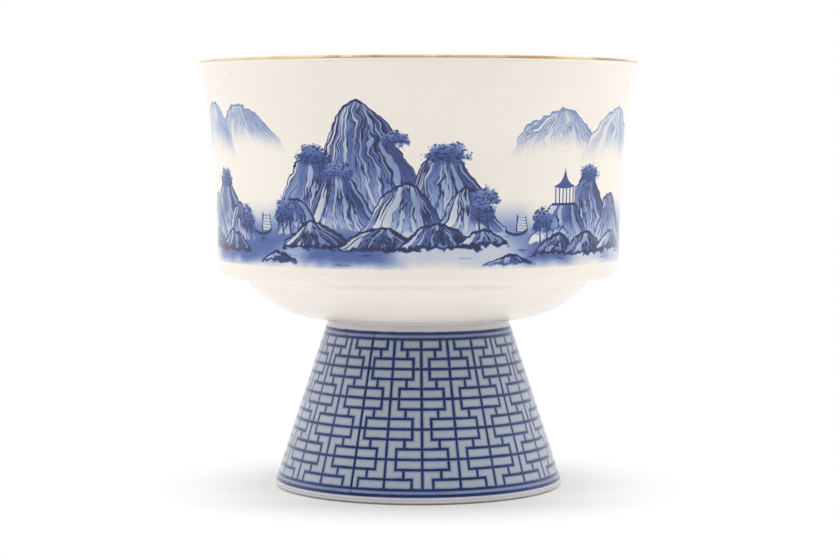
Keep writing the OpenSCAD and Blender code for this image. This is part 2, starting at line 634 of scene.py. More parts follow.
@dataclass(frozen=True)
class HillBrush:
    """How a hill is brushed. Heights and breaks are in millimetres, and tones go from 0 to 1."""

    sway: float = 0.5
    dome_power: float = 1.7
    ridge_break: float = 1.5
    ridge_edge: Span = (-0.12, 0.14)
    foot_break: float = 2.4
    foot_edge: Span = (-0.2, 0.3)
    fan_top: float = 1.2
    strokes_across: float = 0.62
    strokes_down: float = 1.3
    stroke_detail: float = 3.0
    stroke_rough: float = 0.62
    stroke_w: Span = (0.01, 0.045)
    stroke_tone: float = 0.75
    fold: Span = (0.42, 0.66)
    fold_tone: float = 0.4
    thinning: Span = (0.1, 0.95)
    outline_w: Span = (0.2, 0.6)
    wash: Span = (-0.6, 1.0)
    wash_tone: Span = (0.12, 0.5)
    waterline: Span = (0.25, 0.8)
    waterline_tone: float = 0.9
    waterline_loss: float = 3.0
    mist_height: Span = (0.0, 0.5)


@dataclass(frozen=True)
class GroveBrush:
    """How a clump of trees is dabbed. Sizes are shares of its half width and its rise."""

    ragged: float = 1.6
    low_edge: Span = (-0.75, -0.2)
    mass_edge: Span = (0.35, 0.85)
    mass_height: Span = (-0.5, 0.9)
    mass_tone: Span = (0.74, 0.48)
    dab_edge: Span = (0.3, 0.48)
    dab_reach: Span = (1.0, 1.2)
    dab_tone: float = 0.95
    trunk_step: float = 0.3
    trunk_lean: float = 0.12
    trunk_w: Span = (0.035, 0.08)
    trunk_side: Span = (0.5, 0.55)
    trunk_foot: Span = (-1.15, -1.05)
    trunk_top: Span = (-0.3, 0.0)
    trunk_tone: float = 0.85


@dataclass(frozen=True)
class BoatBrush:
    """How a small boat with a battened sail is drawn. Sizes are shares of its half length."""

    sheer: float = 0.35
    hull_h: float = 0.24
    keel_curve: float = 0.9
    hull_edge: Span = (-0.03, 0.03)
    hull_end: Span = (0.95, 1.02)
    hull_tone: float = 0.85
    mast_at: float = 0.05
    mast_w: Span = (0.02, 0.05)
    mast_foot: Span = (0.2, 0.25)
    mast_top: Span = (1.75, 1.8)
    mast_tone: float = 0.9
    sail_at: float = 0.5
    sail_w: float = 0.86
    sail_taper: float = -0.16
    sail_edge: Span = (0.2, 0.26)
    sail_foot: Span = (0.4, 0.44)
    sail_top: Span = (1.62, 1.66)
    hem: Span = (0.26, 0.34)
    batten_step: float = 0.11
    batten_tilt: float = 0.12
    batten_w: Span = (0.0, 0.035)
    cloth_tone: float = 0.16
    batten_tone: float = 0.7


@dataclass(frozen=True)
class PavilionBrush:
    """How a small open pavilion with a swept roof is drawn. Sizes are shares of its half width."""

    roof_h: float = 0.72
    sweep: float = 0.3
    peak_w: float = 0.22
    eave_h: float = 0.86
    eave_curl: float = 0.16
    roof_edge: Span = (-0.02, 0.03)
    roof_end: Span = (1.12, 1.18)
    tile_fan: float = 2.4
    tile_step: float = 0.06
    tile_line: Span = (0.0, 0.03)
    tile_tone: Span = (0.95, 0.62)
    post_step: float = 0.28
    post_w: Span = (0.09, 0.11)
    post_side: Span = (0.8, 0.84)
    post_foot: Span = (-0.05, 0.0)
    post_top: Span = (0.9, 0.95)
    base_side: Span = (0.92, 0.98)
    base_foot: Span = (-0.12, -0.08)
    base_top: Span = (0.02, 0.06)
    room_side: Span = (0.8, 0.86)
    room_top: Span = (0.95, 1.0)
    room_tone: float = 0.05
    line_tone: float = 0.85


@dataclass(frozen=True)
class WaterBrush:
    """How the water, the torn lower edge and the unevenness of the painting are made.

    Scales are waves or dabs in a millimetre. Heights are in millimetres above the band's foot.
    """

    wobble_scale: float = 0.16
    edge_scale: float = 0.75
    edge_detail: float = 3.0
    leaf_scale: Span = (1.5, 2.5)
    seed_step: float = 1.7
    low_wobble: float = 3.0
    low_break: float = 0.5
    low_edge: Span = (0.2, 3.2)
    film_edge: Span = (0.0, 1.6)
    dash_scale: float = 0.16
    dash: Span = (0.62, 0.7)
    dash_tone: float = 0.26
    cloud_scale: float = 0.06
    cloud_detail: float = 1.0
    cloud: Span = (0.38, 0.6)
    cloud_tone: float = 0.42
    shore: Span = (6.0, 15.0)
    wash_tone: float = 0.17


def place_group() -> bpy.types.NodeTree:
    """Makes the group that gives a point's angle round the cup and its height above the foot.

    Returns:
        A group that puts out Angle in degrees, from -180 to 180 with 0 in front, and Height in
        millimetres.
    """
    maker = GroupMaker("place_on_cup", {}, values_named("Angle", "Height"))
    bench = maker.bench
    x, y, z = bench.split(bench.spot())
    turn = bench.math("ARCTAN2", x, bench.times(y, -1.0))
    return maker.give(Angle=bench.math("DEGREES", turn), Height=bench.times(z, 1 / MM))


def glaze_group(finish: GlazeFinish) -> bpy.types.NodeTree:
    """Makes the group of a clear fired glaze: its faint unevenness, pinholes, gloss and ripple.

    Args:
        finish: the glaze.

    Returns:
        A group that takes Gloss and puts out Shade to multiply a colour by, Speck, Roughness and Ripple.
    """
    maker = GroupMaker(
        "fired_glaze", values_named("Gloss"), values_named("Shade", "Speck", "Roughness", "Ripple"))
    bench = maker.bench
    spot = bench.spot()
    cloud = bench.noise(spot, finish.cloud_scale, finish.cloud_detail)
    ripple = bench.noise(spot, finish.ripple_scale, finish.ripple_detail)
    pinholes = bench.cells(spot, finish.pinhole_scale)
    chance = bench.put("ShaderNodeSeparateColor")
    bench.feed(chance.inputs[0], pinholes.outputs["Color"])
    rare = bench.math("GREATER_THAN", chance.outputs[0], finish.pinhole_from)
    speck = bench.times(rare, bench.fade(pinholes.outputs["Distance"], *finish.pinhole_edge))
    return maker.give(
        Shade=bench.ease(cloud, *finish.cloud_span, *finish.cloud_shade),
        Speck=speck,
        Roughness=bench.add(maker.inputs["Gloss"], bench.times(cloud, finish.cloud_rough)),
        Ripple=bench.add(ripple, bench.times(speck, -finish.pinhole_depth)),
    )


def cobalt_group(finish: CobaltFinish) -> bpy.types.NodeTree:
    """Makes the group that stains a body colour with cobalt.

    Args:
        finish: the blue.

    Returns:
        A group that takes Body and Tone, from bare at 0 to full at 1, and puts out Colour.
    """
    inputs = {"Body": SocketKind.COLOUR, "Tone": SocketKind.VALUE}
    maker = GroupMaker("cobalt_stain", inputs, {"Colour": SocketKind.COLOUR})
    bench = maker.bench
    ramp = bench.put("ShaderNodeValToRGB")
    bench.feed(ramp.inputs[0], maker.inputs["Tone"])
    stops = ramp.color_ramp.elements
    for spare in list(stops)[1:]:
        stops.remove(spare)
    stops[0].position, stops[0].color = finish.stops[0]
    for position, colour in finish.stops[1:]:
        stops.new(position).color = colour
    return maker.give(Colour=bench.tint(1.0, maker.inputs["Body"], ramp.outputs[0], mode="MULTIPLY"))


HILL_INPUTS = (
    "Under", "Along", "Up", "Wobble", "Edge", "Centre", "Foot", "Rise", "Half", "Lean", "Seed", "Strength",
    "Mist")


def hill_group(brush: HillBrush) -> bpy.types.NodeTree:
    """Makes the group that paints one hill over what lies behind it.

    Its ridge is a dome with a broken edge. Strokes fan down from its top, and the wash is deepest on the
    right, and thins to mist at the foot.

    Args:
        brush: how it is painted.

    Returns:
        A group that puts out the tone Over.
    """
    maker = GroupMaker("brushed_hill", values_named(*HILL_INPUTS), values_named("Over"))
    bench, given = maker.bench, maker.inputs
    up_from_foot = bench.minus(given["Up"], given["Foot"])
    high = bench.over(up_from_foot, given["Rise"])
    off = bench.over(bench.minus(given["Along"], given["Centre"]), given["Half"])
    across = bench.add(off, bench.times(given["Lean"], high), bench.times(given["Wobble"], brush.sway))
    dome = bench.minus(1.0, bench.math("POWER", bench.size(across), brush.dome_power))
    ridge = bench.add(
        given["Foot"], bench.times(given["Rise"], dome), bench.times(given["Edge"], brush.ridge_break))
    below = bench.minus(ridge, given["Up"])
    above_foot = bench.add(up_from_foot, bench.times(given["Edge"], brush.foot_break))
    cover = bench.times(bench.ease(below, *brush.ridge_edge), bench.ease(above_foot, *brush.foot_edge))
    fan = bench.over(across, bench.minus(brush.fan_top, high))
    depth = bench.over(below, given["Rise"])
    stroke_place = bench.vector(
        bench.times(fan, given["Half"], brush.strokes_across), bench.times(depth, brush.strokes_down),
        given["Seed"])
    level = bench.noise(stroke_place, 1.0, brush.stroke_detail, brush.stroke_rough)
    stroke = bench.fade(bench.apart(level, NOISE_MEAN), *brush.stroke_w)
    fold = bench.ease(level, *brush.fold)
    clear = bench.minus(1.0, given["Mist"])
    thin = bench.ease(depth, *brush.thinning, 1.0, clear)
    outline = bench.fade(below, *brush.outline_w)
    wash = bench.times(thin, bench.ease(bench.add(across, depth), *brush.wash, *brush.wash_tone))
    dry = bench.math("SUBTRACT", 1.0, bench.times(given["Mist"], brush.waterline_loss), clamp=True)
    waterline = bench.times(bench.fade(above_foot, *brush.waterline, brush.waterline_tone), dry)
    inked = bench.most(outline, waterline, bench.times(stroke, thin, brush.stroke_tone))
    folded = bench.times(fold, thin, brush.fold_tone)
    mist = bench.ease(high, *brush.mist_height, clear, 1.0)
    tone = bench.times(bench.least(bench.add(inked, wash, folded), 1.0), mist, given["Strength"])
    return maker.give(Over=bench.mix(cover, given["Under"], tone))


GROVE_INPUTS = (
    "Under", "Along", "Up", "Leaf", "Edge", "Centre", "Foot", "Rise", "Half", "Strength", "Trunk")


def grove_group(brush: GroveBrush) -> bpy.types.NodeTree:
    """Makes the group that paints a clump of leafy dots over what lies behind it.

    Args:
        brush: how it is painted.

    Returns:
        A group that puts out the tone Over.
    """
    maker = GroupMaker("dotted_grove", values_named(*GROVE_INPUTS), values_named("Over"))
    bench, given = maker.bench, maker.inputs
    strength = given["Strength"]
    off = bench.over(bench.minus(given["Along"], given["Centre"]), given["Half"])
    high = bench.over(bench.minus(given["Up"], given["Foot"]), given["Rise"])
    reach = bench.add(bench.times(off, off), bench.times(high, high))
    ragged = bench.minus(reach, bench.times(given["Edge"], brush.ragged))
    low = bench.ease(bench.add(high, given["Edge"]), *brush.low_edge)
    mass = bench.times(bench.fade(ragged, *brush.mass_edge), low)
    dabs = bench.times(
        bench.fade(given["Leaf"], *brush.dab_edge),
        bench.fade(bench.add(ragged, given["Leaf"]), *brush.dab_reach), low)
    trunk_at = bench.math(
        "PINGPONG", bench.add(off, bench.times(high, brush.trunk_lean), brush.trunk_step), brush.trunk_step)
    trunks = bench.times(
        bench.fade(trunk_at, *brush.trunk_w), bench.fade(bench.size(off), *brush.trunk_side),
        bench.ease(high, *brush.trunk_foot), bench.fade(high, *brush.trunk_top), given["Trunk"])
    mass_tone = bench.times(strength, bench.ease(high, *brush.mass_height, *brush.mass_tone))
    washed = bench.mix(mass, given["Under"], mass_tone)
    with_trunks = bench.mix(trunks, washed, bench.times(strength, brush.trunk_tone))
    return maker.give(Over=bench.mix(dabs, with_trunks, bench.times(strength, brush.dab_tone)))


BOAT_INPUTS = ("Under", "Along", "Up", "Centre", "Line", "Size")


def boat_group(brush: BoatBrush) -> bpy.types.NodeTree:
    """Makes the group that paints a small boat with a battened sail over the water.

    Args:
        brush: how it is drawn.

    Returns:
        A group that puts out the tone Over.
    """
    maker = GroupMaker("sailing_boat", values_named(*BOAT_INPUTS), values_named("Over"))
    bench, given = maker.bench, maker.inputs
    x = bench.over(bench.minus(given["Along"], given["Centre"]), given["Size"])
    y = bench.over(bench.minus(given["Up"], given["Line"]), given["Size"])
    bow = bench.times(x, x, brush.sheer)
    deck = bench.fade(bench.minus(y, bench.add(bow, brush.hull_h)), *brush.hull_edge)
    keel = bench.ease(bench.minus(y, bench.times(bow, brush.keel_curve)), *brush.hull_edge)
    hull = bench.times(deck, keel, bench.fade(bench.size(x), *brush.hull_end))
    mast = bench.times(
        bench.fade(bench.apart(x, brush.mast_at), *brush.mast_w),
        bench.ease(y, *brush.mast_foot), bench.fade(y, *brush.mast_top))
    sail_half = bench.add(brush.sail_w, bench.times(y, brush.sail_taper))
    belly = bench.minus(sail_half, bench.apart(x, brush.sail_at))
    sail = bench.times(
        bench.ease(belly, *brush.sail_edge), bench.ease(y, *brush.sail_foot), bench.fade(y, *brush.sail_top))
    batten_at = bench.math("PINGPONG", bench.add(y, bench.times(x, brush.batten_tilt)), brush.batten_step)
    lines = bench.most(bench.fade(batten_at, *brush.batten_w), bench.fade(belly, *brush.hem))
    cloth = bench.add(brush.cloth_tone, bench.times(lines, brush.batten_tone))
    with_sail = bench.mix(sail, given["Under"], cloth)
    with_mast = bench.mix(mast, with_sail, brush.mast_tone)
    return maker.give(Over=bench.mix(hull, with_mast, brush.hull_tone))


PAVILION_INPUTS = ("Under", "Along", "Up", "Centre", "Floor", "Size")


def pavilion_group(brush: PavilionBrush) -> bpy.types.NodeTree:
    """Makes the group that paints a small open pavilion with a swept roof.

    Args:
        brush: how it is drawn.

    Returns:
        A group that puts out the tone Over.
    """
    maker = GroupMaker("open_pavilion", values_named(*PAVILION_INPUTS), values_named("Over"))
    bench, given = maker.bench, maker.inputs
    x = bench.size(bench.over(bench.minus(given["Along"], given["Centre"]), given["Size"]))
    y = bench.over(bench.minus(given["Up"], given["Floor"]), given["Size"])
    roof_top = bench.add(brush.roof_h, bench.over(brush.sweep, bench.add(x, brush.peak_w)))
    eave = bench.add(brush.eave_h, bench.times(x, x, brush.eave_curl))
    roof = bench.times(
        bench.ease(bench.minus(roof_top, y), *brush.roof_edge),
        bench.ease(bench.minus(y, eave), *brush.roof_edge),
        bench.fade(x, *brush.roof_end))
    tile_at = bench.math("PINGPONG", bench.over(x, bench.minus(brush.tile_fan, y)), brush.tile_step)
    tiles = bench.ease(tile_at, *brush.tile_line, *brush.tile_tone)
    half_step = brush.post_step / 2
    post_at = bench.apart(bench.math("PINGPONG", bench.add(x, half_step), brush.post_step), half_step)
    posts = bench.times(
        bench.ease(post_at, *brush.post_w), bench.fade(x, *brush.post_side),
        bench.ease(y, *brush.post_foot), bench.fade(y, *brush.post_top))
    base = bench.times(
        bench.fade(x, *brush.base_side), bench.ease(y, *brush.base_foot), bench.fade(y, *brush.base_top))
    room = bench.times(
        bench.fade(x, *brush.room_side), bench.ease(y, *brush.post_foot), bench.fade(y, *brush.room_top))
    with_room = bench.mix(room, given["Under"], brush.room_tone)
    with_posts = bench.mix(bench.most(posts, base), with_room, brush.line_tone)
    return maker.give(Over=bench.mix(roof, with_posts, tiles))


class Kiln:
    """The shared node groups, and the materials that use them."""

    def __init__(self, glaze: GlazeFinish) -> None:
        """Makes the groups.

        Args:
            glaze: the glaze that every porcelain piece has.
        """
        self.glaze = glaze
        self.place = place_group()
        self.fired = glaze_group(glaze)
        self.cobalt = cobalt_group(CobaltFinish())
        self.hill = hill_group(HillBrush())
        self.grove = grove_group(GroveBrush())
        self.boat = boat_group(BoatBrush())
        self.pavilion = pavilion_group(PavilionBrush())

    def glazed(
        self, bench: Bench, shader: bpy.types.Node, colour: Feed, matt: Socket | None = None
    ) -> None:
        """Gives a shader the fired glaze over a colour.

        Args:
            bench: bench of the material.
            shader: its shader.
            colour: colour under the glaze.
            matt: where the body is bare, from 0 to 1, or None.
        """
        glaze = self.glaze
        fired = bench.use(self.fired, Gloss=glaze.gloss)
        shaded = bench.tint(1.0, colour, fired.outputs["Shade"], mode="MULTIPLY")
        specks = bench.times(fired.outputs["Speck"], glaze.pinhole_tint)
        bench.feed(shader.inputs["Base Color"], bench.tint(specks, shaded, glaze.speck))
        rough = fired.outputs["Roughness"]
        if matt is not None:
            rough = bench.mix(matt, rough, glaze.bare_rough)
        bench.feed(shader.inputs["Roughness"], rough)
        shader.inputs["IOR"].default_value = glaze.ior
        bump = bench.put("ShaderNodeBump")
        bump.inputs["Strength"].default_value = glaze.ripple
        bump.inputs["Distance"].default_value = MM
        bench.feed(bump.inputs["Height"], fired.outputs["Ripple"])
        bench.feed(shader.inputs["Normal"], bump.outputs[0])

    def porcelain(
        self, name: str, body: Colour, pooled_at: float | None = None, bare_below: float | None = None
    ) -> bpy.types.Material:
        """Makes plain glazed porcelain.

        Args:
            name: name of the material.
            body: colour of the body under the glaze.
            pooled_at: height where the glaze gathers, in millimetres, or None.
            bare_below: height under which the body is unglazed and darkened as painted shade, in millimetres,
                or None. It is used only where pooled_at is given.

        Returns:
            The material.
        """
        glaze = self.glaze
        material, bench, shader = start_material(name)
        if pooled_at is None:
            self.glazed(bench, shader, body)
            return material
        height = bench.use(self.place).outputs["Height"]
        pool = bench.fade(bench.apart(height, pooled_at), 0.0, glaze.pooled_half)
        pooled = bench.tint(bench.times(pool, glaze.pooled_tint), body, glaze.pooled)
        if bare_below is None:
            self.glazed(bench, shader, pooled)
            return material
        # The unglazed foot is painted darker: partly painted shade where the foot meets the floor.
        bare = bench.fade(height, bare_below * glaze.bare_full, bare_below)
        self.glazed(bench, shader, bench.tint(bare, pooled, glaze.bare), bare)
        return material

    def gilding(self, finish: GiltFinish) -> bpy.types.Material:
        """Makes the gold of the lip.

        Args:
            finish: its colours and wear.

        Returns:
            The material.
        """
        material, bench, shader = start_material("gilding")
        spot = bench.spot()
        cloud = bench.noise(spot, finish.cloud_scale, finish.cloud_detail, finish.noise_rough)
        rub = bench.noise(spot, finish.rub_scale, finish.rub_detail, finish.noise_rough)
        # Random bright and dull patches of gold: in part painted highlights and painted reflections along the
        # lip.
        gold = bench.tint(bench.ease(cloud, *finish.cloud_span), finish.dull, finish.bright)
        worn = bench.ease(rub, *finish.worn_span)
        bench.feed(shader.inputs["Base Color"], bench.tint(worn, gold, finish.bare))
        bench.feed(shader.inputs["Metallic"], bench.mix(worn, 1.0, 0.0))
        bench.feed(shader.inputs["Roughness"], bench.ease(rub, *finish.rub_span, *finish.rub_rough))
        return material


@dataclass
class CupProfile:
    """Sizes of the cup's outlines, in millimetres and degrees, and the points worked out from them."""

    cup_h: float
    stem_h: float
    rim_r: float
    wall_r: float = 41.0
    wall_t: float = 2.2
    wall_lean: float = 1.4
    wall_steps: int = 8
    flare_h: float = 26.0
    flare_steps: int = 28
    waist_h: float = 8.9
    waist_round: float = 2.6
    bevel_rise: float = 10.0
    bevel_w: float = 5.7
    crease_round: float = 1.6
    dish_flat_r: float = 19.8
    floor_t: float = 3.4
    well_lift: float = 2.8
    well_fillet: float = 6.0
    slip_t: float = 0.6
    gilt_t: float = 0.12
    foot_r: float = 29.8
    stem_top_r: float = 18.6
    stem_t: float = 3.0
    foot_round: float = 0.9
    foot_inner_round: float = 0.6

    @classmethod
    def from_frame(cls) -> "CupProfile":
        """Takes the overall sizes from the frame.

        Returns:
            The profile.
        """
        bowl_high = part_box("bowl")[1]
        return cls(
            cup_h=CAD_BOX[1].z / MM,
            stem_h=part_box("stem")[1].z / MM,
            rim_r=max(bowl_high.x, bowl_high.y) / MM,
        )

    def __post_init__(self) -> None:
        """Works out the directions, centres and angles that the outlines share."""
        lean = math.radians(self.wall_lean)
        self.lip_round = self.wall_t / 2
        self.bowl_z = self.stem_h + self.slip_t
        self.corner = (self.wall_r, self.bowl_z + self.waist_h)
        self.wall_up = (math.sin(lean), math.cos(lean))
        self.wall_out = (math.cos(lean), -math.sin(lean))
        waist_angle = math.radians(90 + self.bevel_rise + self.wall_lean)
        self.waist_run = self.waist_round / math.tan(waist_angle / 2)
        self.waist_c = shift(self.wall_point(self.waist_run), self.wall_out, -self.waist_round)
        self.set_underside()
        self.set_flare()
        self.set_well()
        self.stem_slope = (self.foot_r - self.stem_top_r) / self.stem_h
        self.stem_lean = math.degrees(math.atan(self.stem_slope))
        self.bore_top_r = self.stem_top_r - self.stem_t / math.cos(math.radians(self.stem_lean))

    def wall_point(self, up: float) -> Point:
        """Gives the point of the outer wall at a distance up from its corner."""
        return shift(self.corner, self.wall_up, up)

    def cone_r(self, height: float) -> float:
        """Gives the outer radius of the stem at a height."""
        return self.foot_r - self.stem_slope * height

    def set_underside(self) -> None:
        """Works out the rounded underside, and the rounding in the crease between it and the bevel."""
        inward = polar(-1.0, self.bevel_rise)
        flat_edge = (self.dish_flat_r, self.bowl_z)
        self.dish_round = level_arc_radius(flat_edge, shift(self.corner, inward, self.bevel_w))
        self.dish_c = (self.dish_flat_r, self.bowl_z + self.dish_round)
        start = shift(self.corner, polar(1.0, self.bevel_rise - 90), self.crease_round)
        self.crease_c = meet_circle(start, inward, self.dish_c, self.dish_round + self.crease_round)
        self.crease_angle = bearing(self.dish_c, self.crease_c)

    def set_flare(self) -> None:
        """Works out the arc from the straight wall to the lip."""
        lip_z = self.cup_h - self.gilt_t
        self.lip_c = (self.rim_r - self.lip_round, lip_z - self.lip_round)
        middle = shift(self.corner, self.wall_out, -self.lip_round)
        off = (self.lip_c[0] - middle[0], self.lip_c[1] - middle[1])
        out = off[0] * self.wall_out[0] + off[1] * self.wall_out[1]
        self.flare_start = off[0] * self.wall_up[0] + off[1] * self.wall_up[1] - self.flare_h
        mid_r = (out**2 + self.flare_h**2) / (2 * out)
        self.flare_r = mid_r - self.lip_round
        self.flare_c = shift(self.wall_point(self.flare_start), self.wall_out, self.flare_r)
        self.flare_low = 180 - self.wall_lean
        self.flare_high = self.flare_low - math.degrees(math.asin(self.flare_h / mid_r))
        self.crown = self.flare_high - 90

    def set_well(self) -> None:
        """Works out the well's floor, and the fillet between it and the wall."""
        floor_mid = (0.0, self.bowl_z + self.floor_t)
        floor_edge = shift(self.wall_point(self.well_lift), self.wall_out, -self.wall_t)
        self.well_round = level_arc_radius(floor_mid, floor_edge)
        self.well_c = (0.0, floor_mid[1] + self.well_round)
        start = shift(self.corner, self.wall_out, -self.wall_t - self.well_fillet)
        self.fillet_c = meet_circle(start, self.wall_up, self.well_c, self.well_round - self.well_fillet)
        self.fillet_angle = bearing(self.well_c, self.fillet_c)

    def outer_wall(self) -> list[Point]:
        """Gives the outer wall from the top of the waist's rounding to the lip.

        Returns:
            The points, from the waist up.
        """
        low = self.wall_point(self.waist_run)
        top = self.wall_point(self.flare_start)
        flare = arc(self.flare_c, self.flare_r, self.flare_low, self.flare_high, self.flare_steps)
        return [low, *straight(low, top, self.wall_steps), *flare]


@dataclass
class Bowl:
    """The turned bowl, without its colours and gilding."""

    profile: CupProfile
    kiln: Kiln
    hub_steps: int = 8
    dish_steps: int = 24
    crease_steps: int = 10
    bevel_steps: int = 7
    waist_steps: int = 16
    lip_steps: int = 24
    well_wall_steps: int = 4
    fillet_steps: int = 20
    floor_steps: int = 28

    def outline(self) -> list[Point]:
        """Gives the bowl's outline, from the middle of its underside round the lip to its floor.

        Returns:
            The points.
        """
        p = self.profile
        dish = arc(p.dish_c, p.dish_round, -90, p.crease_angle, self.dish_steps)
        crease_end = p.bevel_rise + 90
        crease = arc(p.crease_c, p.crease_round, p.crease_angle + 180, crease_end, self.crease_steps)
        waist = arc(p.waist_c, p.waist_round, p.bevel_rise - 90, -p.wall_lean, self.waist_steps)
        lip = arc(p.lip_c, p.lip_round, p.crown - 90, p.crown + 90, self.lip_steps)
        inner = arc(p.flare_c, p.flare_r + p.wall_t, p.flare_high, p.flare_low, p.flare_steps)
        fillet = arc(p.fillet_c, p.well_fillet, -p.wall_lean, p.fillet_angle, self.fillet_steps)
        floor = arc(p.well_c, p.well_round, p.fillet_angle, -90, self.floor_steps)
        hub = (0.0, p.bowl_z)
        return [
            hub, *straight(hub, dish[0], self.hub_steps), *dish, *crease[1:],
            *straight(crease[-1], waist[0], self.bevel_steps), *waist,
            *p.outer_wall()[1:], *lip[1:-1], *inner,
            *straight(inner[-1], fillet[0], self.well_wall_steps), *fillet,
            *floor[1:-1], (0.0, floor[-1][1]),
        ]

    def build(self) -> bpy.types.Object:
        """Makes the bowl in place of its solid.

        Returns:
            The bowl.
        """
        piece = lathe("bowl_body", self.outline(), closed=False)
        piece.data.materials.append(self.kiln.porcelain("bowl_glaze", self.kiln.glaze.bowl))
        return seat(piece, "bowl")


@dataclass
class Stem:
    """The hollow conical stem, without its colours."""

    profile: CupProfile
    kiln: Kiln
    side_steps: int = 24
    foot_steps: int = 10
    foot_inner_steps: int = 8
    bare_h: float = 0.5

    def outline(self) -> list[Point]:
        """Gives the stem's closed outline.

        Returns:
            The points, from the foot up the outside and down the bore.
        """
        p = self.profile
        outer_run = p.foot_round / math.tan(math.radians(90 - p.stem_lean) / 2)
        inner_run = p.foot_inner_round / math.tan(math.radians(90 + p.stem_lean) / 2)
        bore_foot_r = p.foot_r - p.stem_top_r + p.bore_top_r
        outer_c = (p.foot_r - outer_run, p.foot_round)
        inner_c = (bore_foot_r + inner_run, p.foot_inner_round)
        outer = arc(outer_c, p.foot_round, -90, p.stem_lean, self.foot_steps)
        inner = arc(inner_c, p.foot_inner_round, 180 + p.stem_lean, 270, self.foot_inner_steps)
        top = (p.stem_top_r, p.stem_h)
        bore = (p.bore_top_r, p.stem_h)
        return [
            *outer, *straight(outer[-1], top, self.side_steps), top, bore,
            *straight(bore, inner[0], self.side_steps), *inner,
        ]

    def build(self) -> bpy.types.Object:
        """Makes the stem in place of its solid.

        Returns:
            The stem.
        """
        piece = lathe("stem_body", self.outline(), closed=True)
        piece.data.set_sharp_from_angle(angle=SHARP_ANGLE)
        # The stem's glaze colour is painted shade under the bowl.
        glaze = self.kiln.porcelain(
            "stem_glaze_painted_shade", self.kiln.glaze.stem, pooled_at=self.profile.stem_h, bare_below=self.bare_h)
        piece.data.materials.append(glaze)
        return seat(piece, "stem")


@dataclass
class LutingRing:
    """The ring of slip between the bowl and the stem."""

    profile: CupProfile
    kiln: Kiln
    hollow: float = 0.2
    hollow_steps: int = 10

    def build(self) -> bpy.types.Object:
        """Makes the ring in place of its solid.

        Returns:
            The ring.
        """
        p = self.profile
        half = p.slip_t / 2
        radius = (half**2 + self.hollow**2) / (2 * self.hollow)
        turn = math.degrees(math.asin(half / radius))
        centre = (p.stem_top_r - self.hollow + radius, p.stem_h + half)
        hollow = arc(centre, radius, 180 + turn, 180 - turn, self.hollow_steps)
        outline = [(p.bore_top_r, p.bowl_z), (p.bore_top_r, p.stem_h), *hollow]
        piece = lathe("luting_bead", outline, closed=True)
        piece.data.set_sharp_from_angle(angle=SHARP_ANGLE)
        # The ring takes the stem's darker colour, which is painted shade under the bowl.
        glaze = self.kiln.porcelain("luting_glaze_painted_shade", self.kiln.glaze.stem, pooled_at=p.stem_h + half)
        piece.data.materials.append(glaze)
        return seat(piece, "luting_ring")


@dataclass
class GiltRim:
    """The gilding over the crown of the lip, which it wraps by an angle each way."""

    profile: CupProfile
    kiln: Kiln
    finish: GiltFinish = field(default_factory=GiltFinish)
    wrap: float = 36.0
    wrap_steps: int = 24

    def build(self) -> bpy.types.Object:
        """Makes the gilding in place of its solid.

        Returns:
            The gilding.
        """
        p = self.profile
        low, high = p.crown - self.wrap, p.crown + self.wrap
        outer = arc(p.lip_c, p.lip_round + p.gilt_t, low, high, self.wrap_steps)
        inner = arc(p.lip_c, p.lip_round, high, low, self.wrap_steps)
        piece = lathe("gilt_edge", [*outer, *inner], closed=True)
        piece.data.set_sharp_from_angle(angle=SHARP_ANGLE)
        piece.data.materials.append(self.kiln.gilding(self.finish))
        return seat(piece, "gilt_rim")


@dataclass(frozen=True)
class Hill:
    """One painted hill: its middle along the wall, its foot, rise and half width in millimetres."""

    centre: float
    foot: float
    rise: float
    half: float
    lean: float = 0.0
    strength: float = 1.0
    mist: float = 0.4


@dataclass(frozen=True)
class Grove:
    """One painted clump of trees: its middle along the wall, its foot, rise and half width in millimetres."""

    centre: float
    foot: float
    rise: float
    half: float
    strength: float = 1.0
    trunk: float = 0.0


@dataclass(frozen=True)
class Sketch:
    """One small painted thing: its middle along the wall, its foot and its half width in millimetres."""

    centre: float
    foot: float
    half: float


def far_hill(centre: float, foot: float, rise: float, half: float, lean: float) -> Hill:
    """Gives a faint hill that stands in mist, far off."""
    return Hill(centre, foot, rise, half, lean, strength=0.45, mist=0.9)


def rock(centre: float, foot: float, rise: float, half: float, lean: float = 0.0) -> Hill:
    """Gives a low rock at the water, with no mist at its foot."""
    return Hill(centre, foot, rise, half, lean, mist=0.0)


def tree(centre: float, foot: float, rise: float, half: float) -> Grove:
    """Gives a clump that stands on trunks."""
    return Grove(centre, foot, rise, half, trunk=1.0)


